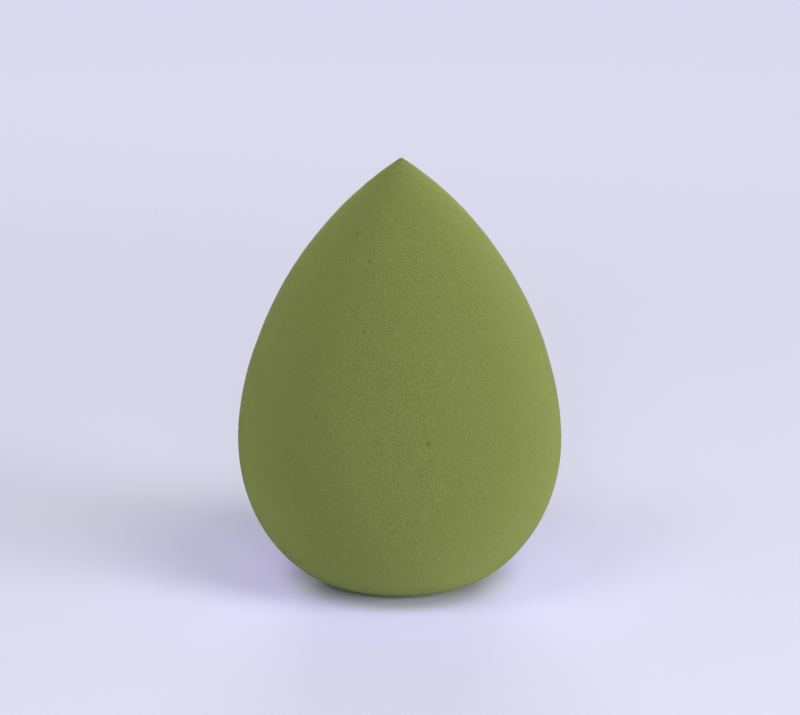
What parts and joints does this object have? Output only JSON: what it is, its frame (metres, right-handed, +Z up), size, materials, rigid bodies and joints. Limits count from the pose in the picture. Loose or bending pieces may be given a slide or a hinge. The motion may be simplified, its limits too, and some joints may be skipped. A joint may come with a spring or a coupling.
{
  "type": "makeup sponge",
  "caption": "Teardrop makeup sponge of soft foam, with a pointed tip for small areas and a round belly for blending, standing on its base.",
  "frame": {"origin": "centre of the flat base, on the surface the sponge stands on", "axes": "+Z up along the axis of symmetry, from the base to the tip; X and Y are alike"},
  "size_m": [0.0448, 0.0448, 0.06],
  "materials": {
    "foam": "matte"
  },
  "bodies": {
    "root": {"foam_body": "foam"}
  },
  "joints": []
}
